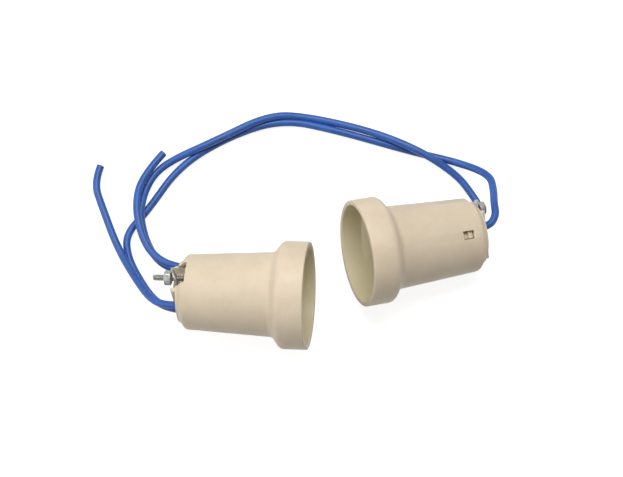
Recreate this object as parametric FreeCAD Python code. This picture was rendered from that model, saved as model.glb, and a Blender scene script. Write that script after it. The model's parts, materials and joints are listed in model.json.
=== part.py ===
"""Wired pair of E27 lamp holders, lying on their sides and joined by two link wires.

Each holder is built in a frame of its own, in millimetres: the origin is the centre of the rear
rim, +Z runs along the axis towards the mouth and +X points at the fixing screw.  The two holders
are then laid on the plane z = 0, each resting on its collar and on the rear edge of its body.
"""
import FreeCAD
import Part

import math
import os

Vec = FreeCAD.Vector

# ---------------------------------------------------------------- housing
HOUSING_LENGTH = 62.1
COLLAR_R = 26.25
COLLAR_LENGTH = 13.0
SHOULDER_LENGTH = 4.0
BODY_FRONT_R = 20.7
BODY_REAR_R = 18.6
CHAMFER_LENGTH = 3.4
NECK_STEP = 3.5
NECK_LENGTH = 2.6
HOUSING_WALL = 2.5
NECK_WALL = 1.4
CUP_DEPTH = 10.5
RIM_ROUND = 0.7
NOTCH_DEPTH = 3.8

# ---------------------------------------------------------------- lamp thread, E27
THREAD_MAJOR_R = 13.25
THREAD_MINOR_R = 12.15
THREAD_PITCH = 3.629
THREAD_TURNS = 3.5
SHELL_SHEET = 0.4
SHELL_FOOT = 5.2
SHELL_LIP = 1.9
SHELL_FLOOR_HOLE_R = 9.0

# ---------------------------------------------------------------- contact block
BLOCK_CLEARANCE = 0.4
BLOCK_REAR_Z = 6.4
BLOCK_FLOOR_Z = 20.0
SHELL_CLEARANCE = 0.35
TAIL_HALF_WIDTH = 7.4
TAIL_LENGTH = 3.8
TAIL_CHAMFER = 1.3
TAIL_CLEARANCE = 0.3

# ---------------------------------------------------------------- snap latches
WINDOW_ANGLE = -70.0
WINDOW_LENGTH = 5.8
WINDOW_WIDTH = 4.0
WINDOW_CENTRE_Z = 9.4
LATCH_CLEARANCE = 0.3
LATCH_SET_BACK = 0.9

# ---------------------------------------------------------------- fixing hardware
STUD_INSET = 1.7
SCREW_R = 1.6
SCREW_LENGTH = 19.05
SCREW_HEAD_R = 3.0
SCREW_HEAD_HEIGHT = 1.8
SCREW_CLEARANCE = 0.25
NUT_ACROSS_FLATS = 6.35
NUT_HEIGHT = 3.2
THREAD_CLEARANCE = 0.05
WASHER_R = 5.5
WASHER_HOLE_R = 2.1
WASHER_SHEET = 0.8
WASHER_TILT = 25.0
WASHER_CLEARANCE = 0.2
CHANNEL_DEPTH = 7.2
SLOT_PLATE = 2.8
HEAD_SLOT_DEPTH = 10.0

# ---------------------------------------------------------------- terminals and contacts
TERMINAL_OFFSET = 2.4
TERMINAL_WIDTH = 8.4
TERMINAL_INNER = 5.4
TERMINAL_SET_BACK = 2.5
TERMINAL_REAR_Z = 5.6
TERMINAL_LENGTH = 6.2
TERMINAL_CLEARANCE = 0.2
ENTRY_SET_BACK = 2.3
CONDUCTOR_HOLE_R = 1.1
CONDUCTOR_HOLE_DEPTH = 5.0
CLAMP_SCREW_R = 1.25
CLAMP_SCREW_DEPTH = 1.0
CLAMP_HEAD_R = 2.1
CLAMP_HEAD_HEIGHT = 1.3
DRIVER_SLOT = 0.6
RIVET_R = 1.0
RIVET_HEAD_R = 1.9
RIVET_HEAD_HEIGHT = 0.6
CENTRE_RIVET_V = 6.9
SHELL_RIVET_V = 11.0
LEAF_WIDTH = 4.0
LEAF_SHEET = 0.5
LEAF_LIFT = 0.35
LEAF_ROOT = 1.9
LEAF_RISE = 28.0
LEAF_REACH = 1.4
LEAF_TIP = 2.2

# ---------------------------------------------------------------- wires
WIRE_D = 3.8
WIRE_EXIT = 3.0
ENTRY_SPREAD = 1.01
# Corners of each wire between its entries, in the pair's frame.
ROUTES = {
    "supply_lead_lower": [
        (-80.5, -20.8, 20.1), (-88.1, -12.7, 11.6), (-101.5, 7.2, 3.1), (-110.9, 28.2, 1.8),
        (-116.2, 40.6, 2.1), (-113.5, 49.7, 1.9)],
    "supply_lead_upper": [
        (-82.0, 2.1, 13.6), (-89.7, 12.4, 11.2), (-94.4, 29.5, 9.3), (-92.1, 45.1, 5.6),
        (-82.4, 58.0, 3.6)],
    "link_wire_lower": [
        (-81.2, -19.2, 13.2), (-90.5, -6.4, 3.7), (-96.9, 5.0, 1.9), (-98.1, 15.9, 1.9),
        (-88.6, 27.7, 1.9), (-74.0, 52.5, 1.9), (-49.1, 69.9, 1.9), (-23.3, 80.1, 1.9),
        (4.2, 76.2, 2.0), (45.2, 67.1, 1.9), (66.9, 63.3, 3.0), (82.4, 55.7, 12.3), (83.5, 45.9, 18.7),
        (82.9, 39.0, 24.1), (83.7, 31.3, 27.5)],
    "link_wire_upper": [
        (-81.1, 1.2, 9.2), (-88.3, 12.4, 6.7), (-92.4, 27.7, 6.0), (-88.5, 44.6, 2.0),
        (-79.3, 54.2, 2.7), (-56.7, 65.4, 6.8), (-30.5, 81.4, 4.3), (-10.2, 83.5, 1.6),
        (23.4, 76.2, 3.7), (48.2, 66.4, 7.7), (67.4, 56.4, 2.5), (75.1, 47.2, 1.8), (78.8, 41.4, 2.8),
        (78.5, 35.6, 5.4)],
}

# ---------------------------------------------------------------- how the pair lies
LEFT_REAR = (-67.45, -14.13)
LEFT_HEADING = 0.0
LEFT_ROLL = 23.0
LEFT_NUT_GAP = 0.1
LEFT_SCREW_IN = 0.0
RIGHT_REAR = (75.02, 23.63)
RIGHT_HEADING = 194.8
RIGHT_ROLL = -70.0
RIGHT_NUT_GAP = -0.9
RIGHT_SCREW_IN = 6.2

# ---------------------------------------------------------------- sizes that follow
NECK_R = BODY_REAR_R - NECK_STEP
BODY_REAR_Z = NECK_LENGTH + CHAMFER_LENGTH
COLLAR_REAR_Z = HOUSING_LENGTH - COLLAR_LENGTH
BODY_FRONT_Z = COLLAR_REAR_Z - SHOULDER_LENGTH
CUP_R = COLLAR_R - HOUSING_WALL
CUP_FLOOR_Z = HOUSING_LENGTH - CUP_DEPTH
NECK_BORE_R = NECK_R - NECK_WALL
BORE_FRONT_R = BODY_FRONT_R - HOUSING_WALL
BORE_REAR_R = BODY_REAR_R - HOUSING_WALL
BORE_REAR_Z = BODY_REAR_Z + NECK_WALL / 2
BORE_FRONT_Z = BODY_FRONT_Z + HOUSING_WALL
THREAD_DEPTH = THREAD_MAJOR_R - THREAD_MINOR_R
THREAD_START_Z = BLOCK_FLOOR_Z + SHELL_FOOT + THREAD_DEPTH
THREAD_END_Z = THREAD_START_Z + THREAD_PITCH * THREAD_TURNS
BLOCK_FRONT_Z = THREAD_END_Z + THREAD_DEPTH
WIRE_R = WIRE_D / 2
STUD_RADIUS = NECK_BORE_R - STUD_INSET
TERMINAL_OUTER = BORE_REAR_R - BLOCK_CLEARANCE - TERMINAL_SET_BACK
ENTRY_RADIUS = TERMINAL_OUTER - ENTRY_SET_BACK
CHANNEL_HALF_WIDTH = WASHER_R + WASHER_CLEARANCE
CHANNEL_FLOOR_Z = CHANNEL_DEPTH - TAIL_LENGTH
SCREW_SEAT_Z = CHANNEL_FLOOR_Z + SLOT_PLATE
LIE_TILT = math.atan2(COLLAR_R - BODY_REAR_R, COLLAR_REAR_Z - BODY_REAR_Z)
LIE_HEIGHT = BODY_REAR_R * math.cos(LIE_TILT) - BODY_REAR_Z * math.sin(LIE_TILT)


# ---------------------------------------------------------------- shape helpers
def revolved(points):
    """Solid of revolution about Z from a closed outline of (radius, z) points."""
    corners = [Vec(r, 0, z) for r, z in points]
    face = Part.Face(Part.makePolygon(corners + corners[:1]))
    return face.revolve(Vec(0, 0, 0), Vec(0, 0, 1), 360)


def block(x0, x1, y0, y1, z0, z1):
    """Box between two limits on each axis."""
    return Part.makeBox(x1 - x0, y1 - y0, z1 - z0, Vec(x0, y0, z0))


def rod(radius, start, end):
    """Cylinder from one point to another."""
    axis = Vec(*end) - Vec(*start)
    return Part.makeCylinder(radius, axis.Length, Vec(*start), axis)


def turned(shape, degrees):
    """Copy of a shape turned about the holder's axis."""
    copy = shape.copy()
    copy.rotate(Vec(0, 0, 0), Vec(0, 0, 1), degrees)
    return copy


def mirrored(shape):
    """Copy of a shape on the other terminal's side."""
    return shape.mirror(Vec(0, 0, 0), Vec(0, 1, 0))


def bore_radius(z):
    """Inner radius of the housing's body at a height."""
    share = (z - BORE_REAR_Z) / (BORE_FRONT_Z - BORE_REAR_Z)
    return BORE_REAR_R + (BORE_FRONT_R - BORE_REAR_R) * share


# ---------------------------------------------------------------- moulded parts
def housing():
    """Tapered body with a flared collar, a chamfered rear, two notches and two snap windows."""
    shell = revolved([
        (NECK_BORE_R, 0), (NECK_R - RIM_ROUND / 2, 0), (NECK_R, RIM_ROUND / 2), (NECK_R, NECK_LENGTH),
        (BODY_REAR_R, BODY_REAR_Z), (BODY_FRONT_R, BODY_FRONT_Z), (COLLAR_R, COLLAR_REAR_Z),
        (COLLAR_R, HOUSING_LENGTH - RIM_ROUND), (COLLAR_R - RIM_ROUND, HOUSING_LENGTH),
        (CUP_R + RIM_ROUND / 2, HOUSING_LENGTH), (CUP_R, HOUSING_LENGTH - RIM_ROUND / 2),
        (CUP_R, CUP_FLOOR_Z), (BORE_FRONT_R, BORE_FRONT_Z), (BORE_REAR_R, BORE_REAR_Z),
        (NECK_BORE_R, NECK_LENGTH + NECK_WALL / 2)])
    notch_half = CHANNEL_HALF_WIDTH + WASHER_CLEARANCE / 2
    notches = block(-BODY_REAR_R, BODY_REAR_R, -notch_half, notch_half, -1, NOTCH_DEPTH)
    window = block(BORE_REAR_R - HOUSING_WALL, BODY_REAR_R + HOUSING_WALL, -WINDOW_WIDTH / 2, WINDOW_WIDTH / 2,
                   WINDOW_CENTRE_Z - WINDOW_LENGTH / 2, WINDOW_CENTRE_Z + WINDOW_LENGTH / 2)
    windows = [turned(window, WINDOW_ANGLE + half_turn) for half_turn in (0, 180)]
    return shell.cut([notches] + windows)


def latch():
    """Snap latch of the contact block, in the rear half of its window."""
    rear_z = WINDOW_CENTRE_Z - WINDOW_LENGTH / 2 + LATCH_CLEARANCE
    tip_r = BODY_REAR_R - LATCH_SET_BACK
    root_r = BORE_REAR_R - HOUSING_WALL
    half = WINDOW_WIDTH / 2 - LATCH_CLEARANCE
    outline = [Vec(root_r, -half, rear_z), Vec(tip_r - LATCH_SET_BACK, -half, rear_z),
               Vec(tip_r, -half, WINDOW_CENTRE_Z), Vec(root_r, -half, WINDOW_CENTRE_Z)]
    face = Part.Face(Part.makePolygon(outline + outline[:1]))
    return face.extrude(Vec(0, 2 * half, 0))


def fixing_slot():
    """Space for one fixing screw: a washer channel, a shank slot and a pocket for the head."""
    far = BODY_REAR_R
    shank_half = SCREW_R + SCREW_CLEARANCE
    head_half = SCREW_HEAD_R + SCREW_CLEARANCE
    channel = block(STUD_RADIUS - CHANNEL_HALF_WIDTH, far, -CHANNEL_HALF_WIDTH, CHANNEL_HALF_WIDTH,
                    -TAIL_LENGTH - 1, CHANNEL_FLOOR_Z)
    shank = block(STUD_RADIUS - shank_half, far, -shank_half, shank_half, 0, SCREW_SEAT_Z + 1)
    head = block(STUD_RADIUS - head_half, far, -head_half, head_half,
                 SCREW_SEAT_Z, SCREW_SEAT_Z + HEAD_SLOT_DEPTH)
    return channel.fuse([shank, head])


def terminal_pocket():
    """Space for one terminal, open to the rear and to the side."""
    half = TERMINAL_WIDTH / 2 + TERMINAL_CLEARANCE
    return block(TERMINAL_OFFSET - half, TERMINAL_OFFSET + half, TERMINAL_INNER - TERMINAL_CLEARANCE,
                 BODY_REAR_R, TERMINAL_REAR_Z - 2, TERMINAL_REAR_Z + TERMINAL_LENGTH)


def contact_block():
    """Insert that carries the contacts: a disc, a skirt round the screw shell and a slotted tail."""
    disc_r = bore_radius(BLOCK_REAR_Z) - BLOCK_CLEARANCE
    front_r = bore_radius(BLOCK_FRONT_Z) - BLOCK_CLEARANCE
    skirt_bore = THREAD_MAJOR_R + SHELL_SHEET + SHELL_CLEARANCE
    body = revolved([(0, BLOCK_REAR_Z), (disc_r - BLOCK_CLEARANCE, BLOCK_REAR_Z),
                     (disc_r, BLOCK_REAR_Z + BLOCK_CLEARANCE), (front_r, BLOCK_FRONT_Z),
                     (skirt_bore, BLOCK_FRONT_Z), (skirt_bore, BLOCK_FLOOR_Z), (0, BLOCK_FLOOR_Z)])
    tail_r = NECK_BORE_R - TAIL_CLEARANCE
    tail = Part.makeCylinder(tail_r, BLOCK_REAR_Z + TAIL_LENGTH + 1, Vec(0, 0, -TAIL_LENGTH))
    chamfer_z = TAIL_CHAMFER - TAIL_LENGTH
    profile = [Vec(-tail_r, -TAIL_HALF_WIDTH, BLOCK_REAR_Z + 1), Vec(-tail_r, -TAIL_HALF_WIDTH, chamfer_z),
               Vec(-tail_r, TAIL_CHAMFER - TAIL_HALF_WIDTH, -TAIL_LENGTH),
               Vec(-tail_r, TAIL_HALF_WIDTH - TAIL_CHAMFER, -TAIL_LENGTH),
               Vec(-tail_r, TAIL_HALF_WIDTH, chamfer_z), Vec(-tail_r, TAIL_HALF_WIDTH, BLOCK_REAR_Z + 1)]
    wedge = Part.Face(Part.makePolygon(profile + profile[:1])).extrude(Vec(2 * tail_r, 0, 0))
    latches = [turned(latch(), WINDOW_ANGLE + half_turn) for half_turn in (0, 180)]
    solid = body.fuse([tail.common(wedge)] + latches)
    slot, pocket = fixing_slot(), terminal_pocket()
    rivet_holes = [rod(RIVET_R + THREAD_CLEARANCE, (0, v, TERMINAL_REAR_Z), (0, v, BLOCK_FLOOR_Z + 1))
                   for v in (CENTRE_RIVET_V, -SHELL_RIVET_V)]
    return solid.cut([slot, turned(slot, 180), pocket, mirrored(pocket)] + rivet_holes)


# ---------------------------------------------------------------- contacts
def screw_shell():
    """Thin shell: a floor, a plain foot, the waist that carries the lamp thread and a lip."""
    crest, root, sheet = THREAD_MINOR_R, THREAD_MAJOR_R, SHELL_SHEET
    floor_z, lip_z = BLOCK_FLOOR_Z + sheet, BLOCK_FRONT_Z + sheet
    foot_z = THREAD_START_Z - THREAD_DEPTH
    inner = [(root, floor_z), (root, foot_z), (crest, THREAD_START_Z), (crest, THREAD_END_Z), (root, BLOCK_FRONT_Z)]
    outer = [(root + sheet, BLOCK_FRONT_Z), (crest + sheet, THREAD_END_Z), (crest + sheet, THREAD_START_Z),
             (root + sheet, foot_z), (root + sheet, BLOCK_FLOOR_Z)]
    lip_r = root + sheet + SHELL_LIP
    lip = [(root, lip_z), (lip_r, lip_z), (lip_r, BLOCK_FRONT_Z)]
    floor = [(SHELL_FLOOR_HOLE_R, BLOCK_FLOOR_Z), (SHELL_FLOOR_HOLE_R, floor_z)]
    shell = revolved(inner + lip + outer + floor)
    hole = rod(RIVET_R + THREAD_CLEARANCE, (0, -SHELL_RIVET_V, BLOCK_FLOOR_Z - 1),
               (0, -SHELL_RIVET_V, BLOCK_FLOOR_Z + 1))
    return shell.cut(hole)


def centre_contact():
    """Sprung leaf: a riveted root, a rising blade and a flat tip at the holder's axis."""
    low_z = BLOCK_FLOOR_Z + LEAF_LIFT
    bend_v = CENTRE_RIVET_V - LEAF_ROOT
    rise = (bend_v + LEAF_REACH) * math.tan(math.radians(LEAF_RISE))
    under = [(CENTRE_RIVET_V + LEAF_ROOT, low_z), (bend_v, low_z), (-LEAF_REACH, low_z + rise),
             (-LEAF_REACH - LEAF_TIP, low_z + rise)]
    over = [(v, z + LEAF_SHEET) for v, z in under[::-1]]
    outline = [Vec(-LEAF_WIDTH / 2, v, z) for v, z in under + over]
    leaf = Part.Face(Part.makePolygon(outline + outline[:1])).extrude(Vec(LEAF_WIDTH, 0, 0))
    hole = rod(RIVET_R + SCREW_CLEARANCE, (0, CENTRE_RIVET_V, BLOCK_FLOOR_Z),
               (0, CENTRE_RIVET_V, low_z + 2 * LEAF_SHEET))
    return leaf.cut(hole)


def rivet(v, seat_z):
    """Rivet from a terminal through the block's floor, with its head above a seat height."""
    shank = rod(RIVET_R, (0, v, TERMINAL_REAR_Z + TERMINAL_LENGTH / 2), (0, v, seat_z))
    return shank.fuse(rod(RIVET_HEAD_R, (0, v, seat_z), (0, v, seat_z + RIVET_HEAD_HEIGHT)))


def centre_rivet():
    """Rivet of the centre contact, with room for the leaf to rock under its head."""
    return rivet(CENTRE_RIVET_V, BLOCK_FLOOR_Z + LEAF_SHEET + 2 * LEAF_LIFT)


def shell_rivet():
    """Rivet that holds the screw shell's floor."""
    return rivet(-SHELL_RIVET_V, BLOCK_FLOOR_Z + SHELL_SHEET)


def entry_points():
    """Two wire entries of one terminal, side by side."""
    return [TERMINAL_OFFSET + side * WIRE_R for side in (-1, 1)]


def terminal(rivet_v):
    """Brass terminal with two conductor holes, a clamp screw hole and a rivet hole."""
    half = TERMINAL_WIDTH / 2
    front_z = TERMINAL_REAR_Z + TERMINAL_LENGTH
    solid = block(TERMINAL_OFFSET - half, TERMINAL_OFFSET + half, TERMINAL_INNER, TERMINAL_OUTER,
                  TERMINAL_REAR_Z, front_z)
    holes = [rod(CONDUCTOR_HOLE_R, (u, ENTRY_RADIUS, TERMINAL_REAR_Z - 1),
                 (u, ENTRY_RADIUS, TERMINAL_REAR_Z + CONDUCTOR_HOLE_DEPTH)) for u in entry_points()]
    clamp = rod(CLAMP_SCREW_R + THREAD_CLEARANCE, clamp_point(TERMINAL_OUTER - CLAMP_SCREW_DEPTH),
                clamp_point(TERMINAL_OUTER + 1))
    seat = rod(RIVET_R + THREAD_CLEARANCE, (0, rivet_v, TERMINAL_REAR_Z + TERMINAL_LENGTH / 2),
               (0, rivet_v, front_z + 1))
    return solid.cut(holes + [clamp, seat])


def clamp_point(v):
    """Point on the axis of a terminal's clamp screw."""
    return (TERMINAL_OFFSET, v, TERMINAL_REAR_Z + TERMINAL_LENGTH / 2)


def clamp_screw():
    """Slotted screw that clamps a terminal's conductors from the side."""
    head_v = TERMINAL_OUTER + CLAMP_HEAD_HEIGHT
    shank = rod(CLAMP_SCREW_R, clamp_point(TERMINAL_OUTER - CLAMP_SCREW_DEPTH), clamp_point(TERMINAL_OUTER))
    head = rod(CLAMP_HEAD_R, clamp_point(TERMINAL_OUTER), clamp_point(head_v))
    u, _, z = clamp_point(head_v)
    slot = block(u - DRIVER_SLOT / 2, u + DRIVER_SLOT / 2, head_v - CLAMP_HEAD_HEIGHT / 2, head_v + 1,
                 z - CLAMP_HEAD_R, z + CLAMP_HEAD_R)
    return shank.fuse(head).cut(slot)


# ---------------------------------------------------------------- fixing hardware
def fixing_screw(inward):
    """Cheese-head screw whose head sits in its slot and whose shank leaves past the tail."""
    seat_z = SCREW_SEAT_Z + inward
    shank = rod(SCREW_R, (STUD_RADIUS, 0, seat_z - SCREW_LENGTH), (STUD_RADIUS, 0, seat_z))
    head_z = seat_z + SCREW_HEAD_HEIGHT
    head = rod(SCREW_HEAD_R, (STUD_RADIUS, 0, seat_z), (STUD_RADIUS, 0, head_z))
    slot = block(STUD_RADIUS - SCREW_HEAD_R, STUD_RADIUS + SCREW_HEAD_R, -DRIVER_SLOT / 2, DRIVER_SLOT / 2,
                 head_z - SCREW_HEAD_HEIGHT / 2, head_z + 1)
    return shank.fuse(head).cut(slot)


def fixing_nut(gap):
    """Hexagon nut on the fixing screw, a gap behind the tail's rear face."""
    near_z = -TAIL_LENGTH - gap
    corner_r = NUT_ACROSS_FLATS / math.sqrt(3)
    corners = [Vec(STUD_RADIUS + corner_r * math.cos(math.radians(60 * i)),
                   corner_r * math.sin(math.radians(60 * i)), near_z - NUT_HEIGHT) for i in range(6)]
    hexagon = Part.Face(Part.makePolygon(corners + corners[:1])).extrude(Vec(0, 0, NUT_HEIGHT))
    cone_r = corner_r + NUT_HEIGHT / 2
    corner_cut = revolved([(0, near_z - NUT_HEIGHT), (cone_r - NUT_HEIGHT / 2 - 0.25, near_z - NUT_HEIGHT),
                           (cone_r, near_z - NUT_HEIGHT / 2), (cone_r - NUT_HEIGHT / 2 - 0.25, near_z),
                           (0, near_z)])
    corner_cut.translate(Vec(STUD_RADIUS, 0, 0))
    hole = rod(SCREW_R + THREAD_CLEARANCE, (STUD_RADIUS, 0, near_z - NUT_HEIGHT - 1),
               (STUD_RADIUS, 0, near_z + 1))
    return hexagon.common(corner_cut).cut(hole)


def fixing_washer(gap, roll, lean):
    """Loose washer on the fixing screw, leaning across the channel against the nut."""
    tilt = math.radians(WASHER_TILT)
    corner_r = NUT_ACROSS_FLATS / math.sqrt(3)
    nut_z = -TAIL_LENGTH - gap
    centre_z = nut_z + corner_r * math.tan(tilt) + WASHER_SHEET / 2 / math.cos(tilt) + THREAD_CLEARANCE
    plate = Part.makeCylinder(WASHER_R, WASHER_SHEET, Vec(0, 0, -WASHER_SHEET / 2))
    plate = plate.cut(Part.makeCylinder(WASHER_HOLE_R, WASHER_SHEET + 2, Vec(0, 0, -WASHER_SHEET / 2 - 1)))
    upright = Vec(math.cos(math.radians(roll)), math.sin(math.radians(roll)), 0)
    plate.rotate(Vec(0, 0, 0), upright, lean * WASHER_TILT)
    plate.translate(Vec(STUD_RADIUS, 0, centre_z))
    return plate


# ---------------------------------------------------------------- placing
def lying(rear, heading, roll):
    """Placement that lays a holder on the plane z = 0, its mouth pointing along a heading."""
    yaw, turn = math.radians(heading), math.radians(roll)
    axis = Vec(math.cos(yaw) * math.cos(LIE_TILT), math.sin(yaw) * math.cos(LIE_TILT), math.sin(LIE_TILT))
    side = Vec(-math.sin(yaw), math.cos(yaw), 0)
    up = axis.cross(side)
    stud = up * math.cos(turn) + side * math.sin(turn)
    across = axis.cross(stud)
    matrix = FreeCAD.Matrix(stud.x, across.x, axis.x, rear[0],
                            stud.y, across.y, axis.y, rear[1],
                            stud.z, across.z, axis.z, LIE_HEIGHT,
                            0, 0, 0, 1)
    return FreeCAD.Placement(matrix)


def holder(rear, heading, roll, nut_gap, screw_in, lean):
    """Every piece of one holder, placed."""
    pieces = {
        "housing": housing(),
        "contact_block": contact_block(),
        "screw_shell": screw_shell(),
        "centre_contact": centre_contact(),
        "centre_rivet": centre_rivet(),
        "shell_rivet": shell_rivet(),
        "centre_terminal": terminal(CENTRE_RIVET_V),
        "shell_terminal": mirrored(terminal(SHELL_RIVET_V)),
        "centre_clamp_screw": clamp_screw(),
        "shell_clamp_screw": mirrored(clamp_screw()),
        "fixing_screw": fixing_screw(screw_in),
        "fixing_nut": fixing_nut(nut_gap),
        "fixing_washer": fixing_washer(nut_gap, roll, lean),
    }
    placement = lying(rear, heading, roll)
    for shape in pieces.values():
        shape.Placement = placement.multiply(shape.Placement)
    return pieces


# ---------------------------------------------------------------- wires
def cord_path(name, points):
    """Straight runs joined by tangent arcs through a route's corners; prints the arcs' radii."""
    edges, radii, here = [], [], points[0]
    for before, corner, after in zip(points, points[1:], points[2:]):
        arrive, leave = corner - before, after - corner
        half_turn = arrive.getAngle(leave) / 2
        trim = 0.45 * min(arrive.Length, leave.Length)
        radius = trim / math.tan(half_turn)
        arrive.normalize()
        leave.normalize()
        inward = leave - arrive
        inward.normalize()
        arc_start, arc_end = corner - arrive * trim, corner + leave * trim
        arc_middle = corner + inward * (radius / math.cos(half_turn) - radius)
        edges += [Part.LineSegment(here, arc_start).toShape(),
                  Part.Arc(arc_start, arc_middle, arc_end).toShape()]
        radii.append(radius)
        here = arc_end
    edges.append(Part.LineSegment(here, points[-1]).toShape())
    print(name, "radii", [round(radius, 1) for radius in radii])
    return Part.Wire(edges)


def cord(name, points):
    """Round insulated wire along a route."""
    path = cord_path(name, points)
    direction = points[1] - points[0]
    section = Part.Wire(Part.makeCircle(WIRE_R, points[0], direction))
    tube = path.makePipeShell([section], True, False)
    ideal = math.pi * WIRE_R ** 2 * path.Length
    print(name, "length", round(path.Length, 1), "volume share", round(tube.Volume / ideal, 4))
    return tube


def entry(placement, level, side):
    """Wire entry of a terminal: its face point and a corner outside the rim, placed."""
    u = TERMINAL_OFFSET + level * WIRE_R * ENTRY_SPREAD
    face = placement.multVec(Vec(u, side * ENTRY_RADIUS, TERMINAL_REAR_Z))
    outside = placement.multVec(Vec(u, side * ENTRY_RADIUS, -WIRE_EXIT))
    return [face, outside]


def wires():
    """Two supply leads and two link wires, each from its own wire entry."""
    left = lying(LEFT_REAR, LEFT_HEADING, LEFT_ROLL)
    right = lying(RIGHT_REAR, RIGHT_HEADING, RIGHT_ROLL)
    upper, lower, centre, shell = 1, -1, 1, -1
    ends = {
        "supply_lead_lower": (entry(left, upper, centre), []),
        "supply_lead_upper": (entry(left, upper, shell), []),
        "link_wire_lower": (entry(left, lower, centre), entry(right, upper, shell)[::-1]),
        "link_wire_upper": (entry(left, lower, shell), entry(right, upper, centre)[::-1]),
    }
    return {name: cord(name, start + [Vec(*point) for point in ROUTES[name]] + end)
            for name, (start, end) in ends.items()}


def main():
    """Write one STEP file per piece."""
    os.makedirs("parts", exist_ok=True)
    shapes = wires()
    left = holder(LEFT_REAR, LEFT_HEADING, LEFT_ROLL, LEFT_NUT_GAP, LEFT_SCREW_IN, 1)
    right = holder(RIGHT_REAR, RIGHT_HEADING, RIGHT_ROLL, RIGHT_NUT_GAP, RIGHT_SCREW_IN, -1)
    for prefix, pieces in (("left", left), ("right", right)):
        for name, shape in pieces.items():
            shapes[f"{prefix}_{name}"] = shape
    for name, shape in shapes.items():
        shape.exportStep(f"parts/{name}.step")
    holders = Part.makeCompound(list(left.values()) + list(right.values()))
    print("pieces", len(shapes), "holders' box", holders.optimalBoundingBox())


main()
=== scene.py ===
"""Finishes a wired pair of screw lamp holders: mouldings, shells, fixings, wires and stage."""

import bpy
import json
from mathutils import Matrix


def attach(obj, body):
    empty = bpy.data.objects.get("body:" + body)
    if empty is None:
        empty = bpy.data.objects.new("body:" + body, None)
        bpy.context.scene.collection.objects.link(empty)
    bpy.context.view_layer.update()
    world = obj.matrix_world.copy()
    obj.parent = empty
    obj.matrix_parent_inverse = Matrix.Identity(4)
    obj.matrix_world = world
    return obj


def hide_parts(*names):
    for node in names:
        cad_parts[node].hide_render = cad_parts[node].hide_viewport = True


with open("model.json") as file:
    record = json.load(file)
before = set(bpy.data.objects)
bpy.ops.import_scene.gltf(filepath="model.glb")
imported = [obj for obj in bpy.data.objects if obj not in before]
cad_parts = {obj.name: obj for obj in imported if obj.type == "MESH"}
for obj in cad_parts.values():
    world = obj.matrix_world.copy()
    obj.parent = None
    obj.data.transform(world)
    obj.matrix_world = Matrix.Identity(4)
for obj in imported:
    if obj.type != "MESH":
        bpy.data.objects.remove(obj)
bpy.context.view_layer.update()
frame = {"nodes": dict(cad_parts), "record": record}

import json
import math

import bpy
from mathutils import Matrix, Vector

bl_info = {
    "name": "Wired lamp holders",
    "version": (1, 0, 0),
    "blender": (4, 5, 0),
    "location": "3D View > Sidebar > Lamp holders",
    "description": "Builds the finished pieces of two lamp holders joined by link wires",
    "category": "Object",
}

SIDES = ("left", "right")
MM = 0.001

# Fixed lengths, in metres.
TAIL_LENGTH = 0.0038         # reach of a contact block's tails behind the modelled rear rim
LATCH_TOP = 0.0099           # the block's corners at the bore below this height are its latches
BORE_TOLERANCE = 0.0002      # a corner this close to a bore's wall counts as on it
LATCH_CLEARANCE = 0.0005     # the block stays this far off the bore where its latches were
CUP_LEAD = 0.0001            # the cup's inside counts from this far behind the bore's front ring
THREAD_BLEND = 0.0011        # the rolled thread runs into plain wall over this height at its ends
SHANK_TOLERANCE = 0.0001     # a corner this close to the shank's radius belongs to the thread
RIDGE_START = 0.0006         # plain length at the fixing screw's tip
NUT_SPARE = 0.00002          # the turning tool is this much taller than the nut
CUT_OVERRUN = 0.002          # a notch's cutter starts this far behind the modelled rear rim
CORE_LENGTH = 0.0016         # modelled length of a cut wire's copper core
CORE_SET_BACK = 0.0005       # the core's middle lies this far inside the cut end
FLOOR_DROP = 0.0003          # the floor lies this far below the modelled resting plane

# Widths of the rounded edges, in metres.
CHAMFER_ROUND = 0.0009
FLARE_ROUND = 0.0016
MOUTH_ROUND = 0.0007
RIM_ROUND = 0.0003
OPENING_ROUND = 0.00022
BLOCK_ROUND = 0.0002
SCREW_ROUND = 0.0002
WASHER_ROUND = 0.00016
SMALL_PART_ROUND = 0.00015
THIN_PART_ROUND = 0.00012
NUT_ROUND = 0.00008
NUT_TURNING_ROUND = 0.0005

# Tolerances when meshes are picked apart, in metres.
WELD = 1e-6                  # corners of a turned piece this close become one
NODE_WELD = 2e-6             # the same for copies of modelled pieces
RING_TOLERANCE = 2e-5        # an edge's ends lie this close to the ring that is asked for
END_TOLERANCE = 2e-6         # a ring this close to the thread's end belongs to the thread
WALL_TOLERANCE = 5e-6        # a corner this close to one of the sheet's walls is rolled
STEP_TOLERANCE = 1e-5        # a latch's corner this far behind its window's middle is lowered

# Angles, in degrees.
FLAT_ANGLE = 0.6             # faces that meet flatter than this are merged
EDGE_ANGLE = 35              # edges of modelled pieces sharper than this are rounded
OPENING_ANGLE = 50           # the same round a housing's notches and windows
SMOOTH_ANGLE = 35            # shading runs smoothly over edges flatter than this
THREAD_SMOOTH_ANGLE = 60     # the same on the rolled thread

RIDGE_WIDTH = 0.42           # half width of the fixing screw's ridge, in pitches

# Sides and steps of the turned and wound meshes.
NUT_SIDES = 64
CORE_SIDES = 24
HOLDER_SIDES = 96
SHELL_SIDES = 72
SHELL_STEPS = 60
RIDGE_STEPS = 20

# Lamps: place and size in metres, and the point they aim at.
KEY_PLACE, KEY_SIZE = (-0.12, 0.60, 1.45), 0.9
SIDE_PLACE, SIDE_SIZE = (-1.20, -0.10, 0.70), 0.6
LAMP_AIM = (0, 0.02, 0.02)
FLOOR_SHADE = (0.45, 0.45, 0.45)
FLOOR_GLOW = 0.84
SENSOR_WIDTH = 36            # millimetres

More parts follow.
